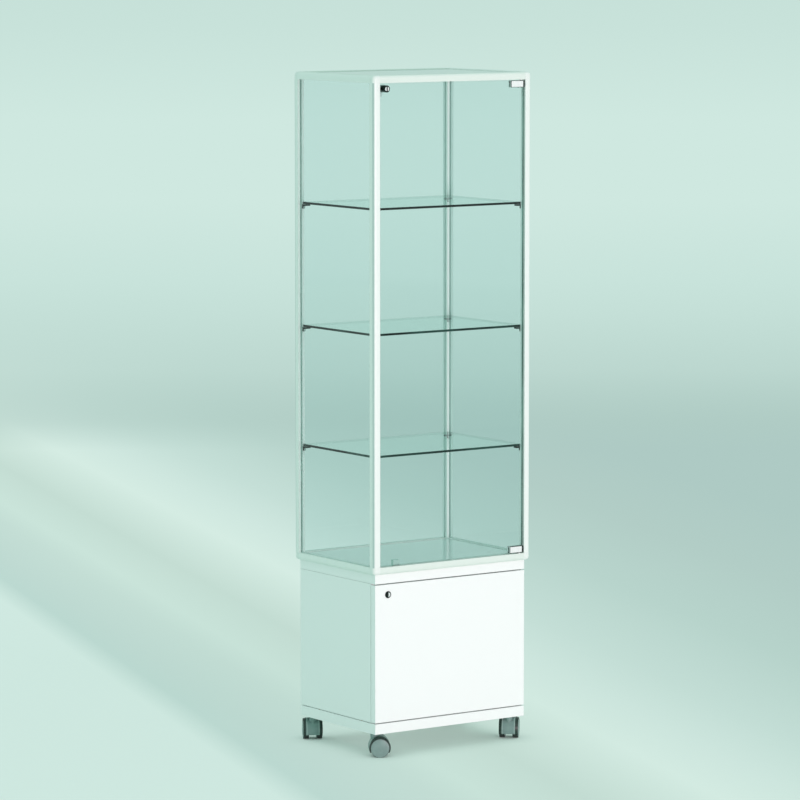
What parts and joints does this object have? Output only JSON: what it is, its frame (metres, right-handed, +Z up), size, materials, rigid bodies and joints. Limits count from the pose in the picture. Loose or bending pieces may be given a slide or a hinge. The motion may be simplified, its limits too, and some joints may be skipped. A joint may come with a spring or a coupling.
{
  "type": "shop display cabinet",
  "caption": "Tall glazed shop display cabinet: white framed glass showcase with glass shelves and a hinged glass door on a lockable base cupboard with twin-wheel castors.",
  "frame": {"origin": "floor level under the middle of the whole object's box", "axes": "+Z up, front with the glass door and cupboard door towards -Y, +X to the right seen from the front"},
  "size_m": [0.5231, 0.3978, 1.8],
  "materials": {
    "white_coated_aluminium": "white powder coat, satin",
    "white_corner_casting": "white powder coat, satin",
    "white_laminate_panel": "white melamine, satin",
    "opal_floor_glass": "pale grey-green gloss",
    "clear_glass": "clear float glass, polished edges",
    "shelf_glass": "clear float glass, dark green polished edges",
    "zinc_steel": "bright zinc plate",
    "clear_soft_pad": "clear soft plastic",
    "clear_acrylic": "clear moulded acrylic",
    "white_bush_plastic": "white nylon",
    "white_laminate": "white melamine board, satin",
    "beech": "plain beech",
    "polished_chrome": "polished chrome plate",
    "cam_steel": "zinc plated steel",
    "castor_hood_nylon": "dark grey moulded nylon",
    "castor_axle_steel": "bright steel",
    "castor_wheel_nylon": "mid grey moulded nylon"
  },
  "bodies": {
    "cabinet": {"post_front_left": "white_coated_aluminium", "post_front_right": "white_coated_aluminium", "post_back_left": "white_coated_aluminium", "post_back_right": "white_coated_aluminium", "top_rails": "white_coated_aluminium", "bottom_rails": "white_coated_aluminium", "corner_joints": "white_corner_casting", "top_panel": "white_laminate_panel", "showcase_floor": "opal_floor_glass", "left_pane": "clear_glass", "right_pane": "clear_glass", "back_pane": "clear_glass", "shelf_top": "shelf_glass", "shelf_middle": "shelf_glass", "shelf_bottom": "shelf_glass", "shelf_clips": "zinc_steel", "shelf_pads": "clear_soft_pad", "shelf_clip_screws": "zinc_steel", "door_stop": "clear_acrylic", "pivot_bushes": "white_bush_plastic", "frame_bolts": "zinc_steel", "base_top_board": "white_laminate", "base_bottom_board": "white_laminate", "base_left_side": "white_laminate", "base_right_side": "white_laminate", "base_back": "white_laminate", "base_dowels": "beech", "castor_stems": "zinc_steel"},
    "glass_door": {"glass_door_pane": "clear_glass", "hinge_outer_plates": "polished_chrome", "hinge_inner_plates": "polished_chrome", "hinge_glass_pads": "clear_soft_pad", "hinge_screws": "zinc_steel", "hinge_pins": "zinc_steel", "glass_lock_sleeve": "polished_chrome", "glass_lock_nut": "zinc_steel"},
    "glass_lock": {"glass_lock_barrel": "polished_chrome", "glass_lock_cam": "cam_steel"},
    "cupboard_door": {"cupboard_door": "white_laminate", "cupboard_pivot_pins": "zinc_steel", "cupboard_lock_sleeve": "polished_chrome"},
    "cupboard_lock": {"cupboard_lock_barrel": "polished_chrome", "cupboard_lock_cam": "cam_steel"},
    "castor_front_left_swivel": {"castor_front_left_hood": "castor_hood_nylon", "castor_front_left_axle": "castor_axle_steel"},
    "castor_front_left_wheel_a_spin": {"castor_front_left_wheel_a": "castor_wheel_nylon"},
    "castor_front_left_wheel_b_spin": {"castor_front_left_wheel_b": "castor_wheel_nylon"},
    "castor_front_right_swivel": {"castor_front_right_hood": "castor_hood_nylon", "castor_front_right_axle": "castor_axle_steel"},
    "castor_front_right_wheel_a_spin": {"castor_front_right_wheel_a": "castor_wheel_nylon"},
    "castor_front_right_wheel_b_spin": {"castor_front_right_wheel_b": "castor_wheel_nylon"},
    "castor_back_left_swivel": {"castor_back_left_hood": "castor_hood_nylon", "castor_back_left_axle": "castor_axle_steel"},
    "castor_back_left_wheel_a_spin": {"castor_back_left_wheel_a": "castor_wheel_nylon"},
    "castor_back_left_wheel_b_spin": {"castor_back_left_wheel_b": "castor_wheel_nylon"},
    "castor_back_right_swivel": {"castor_back_right_hood": "castor_hood_nylon", "castor_back_right_axle": "castor_axle_steel"},
    "castor_back_right_wheel_a_spin": {"castor_back_right_wheel_a": "castor_wheel_nylon"},
    "castor_back_right_wheel_b_spin": {"castor_back_right_wheel_b": "castor_wheel_nylon"}
  },
  "joints": [
    {"name": "glass_door_swing", "type": "hinge", "parent": "cabinet", "child": "glass_door", "pos_m": [0.224, -0.176, 1.1], "axis": [0, 0, 1], "range_deg": [0, 105]},
    {"name": "glass_lock_turn", "type": "hinge", "parent": "glass_door", "child": "glass_lock", "pos_m": [-0.2195, -0.1825, 1.765], "axis": [0, 1, 0], "range_deg": [0, 90]},
    {"name": "cupboard_door_swing", "type": "hinge", "parent": "cabinet", "child": "cupboard_door", "pos_m": [0.238, -0.162, 0.277], "axis": [0, 0, 1], "range_deg": [0, 105]},
    {"name": "cupboard_lock_turn", "type": "hinge", "parent": "cupboard_door", "child": "cupboard_lock", "pos_m": [-0.203, -0.1715, 0.4355], "axis": [0, -1, 0], "range_deg": [0, 90]},
    {"name": "castor_front_left_swivels", "type": "hinge", "parent": "cabinet", "child": "castor_front_left_swivel", "pos_m": [-0.2215, -0.134, 0.05], "axis": [0, 0, 1], "continuous": true},
    {"name": "castor_front_left_wheel_a_rolls", "type": "hinge", "parent": "castor_front_left_swivel", "child": "castor_front_left_wheel_a_spin", "pos_m": [-0.20938, -0.141, 0.025], "axis": [0.5, 0.866, 0], "continuous": true},
    {"name": "castor_front_left_wheel_b_rolls", "type": "hinge", "parent": "castor_front_left_swivel", "child": "castor_front_left_wheel_b_spin", "pos_m": [-0.20938, -0.141, 0.025], "axis": [0.5, 0.866, 0], "continuous": true},
    {"name": "castor_front_right_swivels", "type": "hinge", "parent": "cabinet", "child": "castor_front_right_swivel", "pos_m": [0.2215, -0.134, 0.05], "axis": [0, 0, 1], "continuous": true},
    {"name": "castor_front_right_wheel_a_rolls", "type": "hinge", "parent": "castor_front_right_swivel", "child": "castor_front_right_wheel_a_spin", "pos_m": [0.23087, -0.1236, 0.025], "axis": [-0.7431, 0.6691, 0], "continuous": true},
    {"name": "castor_front_right_wheel_b_rolls", "type": "hinge", "parent": "castor_front_right_swivel", "child": "castor_front_right_wheel_b_spin", "pos_m": [0.23087, -0.1236, 0.025], "axis": [-0.7431, 0.6691, 0], "continuous": true},
    {"name": "castor_back_left_swivels", "type": "hinge", "parent": "cabinet", "child": "castor_back_left_swivel", "pos_m": [-0.2215, 0.157, 0.05], "axis": [0, 0, 1], "continuous": true},
    {"name": "castor_back_left_wheel_a_rolls", "type": "hinge", "parent": "castor_back_left_swivel", "child": "castor_back_left_wheel_a_spin", "pos_m": [-0.2145, 0.16912, 0.025], "axis": [-0.866, 0.5, 0], "continuous": true},
    {"name": "castor_back_left_wheel_b_rolls", "type": "hinge", "parent": "castor_back_left_swivel", "child": "castor_back_left_wheel_b_spin", "pos_m": [-0.2145, 0.16912, 0.025], "axis": [-0.866, 0.5, 0], "continuous": true},
    {"name": "castor_back_right_swivels", "type": "hinge", "parent": "cabinet", "child": "castor_back_right_swivel", "pos_m": [0.2215, 0.157, 0.05], "axis": [0, 0, 1], "continuous": true},
    {"name": "castor_back_right_wheel_a_rolls", "type": "hinge", "parent": "castor_back_right_swivel", "child": "castor_back_right_wheel_a_spin", "pos_m": [0.22742, 0.14431, 0.025], "axis": [0.9063, 0.4226, 0], "continuous": true},
    {"name": "castor_back_right_wheel_b_rolls", "type": "hinge", "parent": "castor_back_right_swivel", "child": "castor_back_right_wheel_b_spin", "pos_m": [0.22742, 0.14431, 0.025], "axis": [0.9063, 0.4226, 0], "continuous": true}
  ]
}
